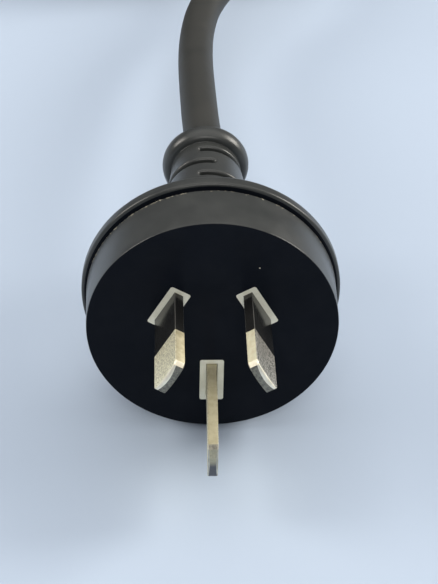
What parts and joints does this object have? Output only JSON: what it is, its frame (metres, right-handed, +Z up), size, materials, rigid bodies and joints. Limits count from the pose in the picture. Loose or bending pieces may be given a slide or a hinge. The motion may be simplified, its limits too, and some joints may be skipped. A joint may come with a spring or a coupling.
{
  "type": "type i mains plug",
  "caption": "Round moulded mains plug with slanted live blades, an upright earth blade, a slotted strain relief and its cord, wound in a tied hank to an appliance connector.",
  "frame": {"origin": "on the floor below the middle of the plug's length, blades included", "axes": "+Z up, -Y the way the blades point, the plug's axis level along Y"},
  "size_m": [0.0672, 0.2937, 0.042],
  "materials": {
    "moulding": "black moulded PVC, satin face and fine matte sides",
    "sleeve": "black insulating plastic, satin",
    "blade": "plated brass, satin with fine drawing marks",
    "bridge": "cream moulded plastic",
    "cord": "black PVC sheath, satin",
    "core_active": "brown core insulation",
    "core_neutral": "blue core insulation",
    "core_earth": "green and yellow core insulation",
    "copper": "bare stranded copper",
    "tie": "black woven strap",
    "connector": "black moulded PVC, fine matte",
    "connector_insert": "black hard plastic, satin",
    "contact": "plain stamped brass"
  },
  "bodies": {
    "root": {"plug_body": "moulding", "pin_bridge": "bridge", "neutral_pin": "blade", "active_pin": "blade", "earth_pin": "blade", "neutral_sleeve": "sleeve", "active_sleeve": "sleeve", "cord_sheath_end": "cord", "cord_lead": "cord", "cord_hank": "cord", "hank_tie": "tie", "connector_body": "connector", "connector_insert": "connector_insert", "connector_sheath_end": "cord", "neutral_core": "core_neutral", "neutral_conductor": "copper", "connector_neutral_core": "core_neutral", "connector_neutral_conductor": "copper", "active_core": "core_active", "active_conductor": "copper", "connector_active_core": "core_active", "connector_active_conductor": "copper", "earth_core": "core_earth", "earth_conductor": "copper", "connector_earth_core": "core_earth", "connector_earth_conductor": "copper", "connector_active_contact": "contact", "connector_neutral_contact": "contact", "connector_earth_contact": "contact"}
  },
  "joints": []
}
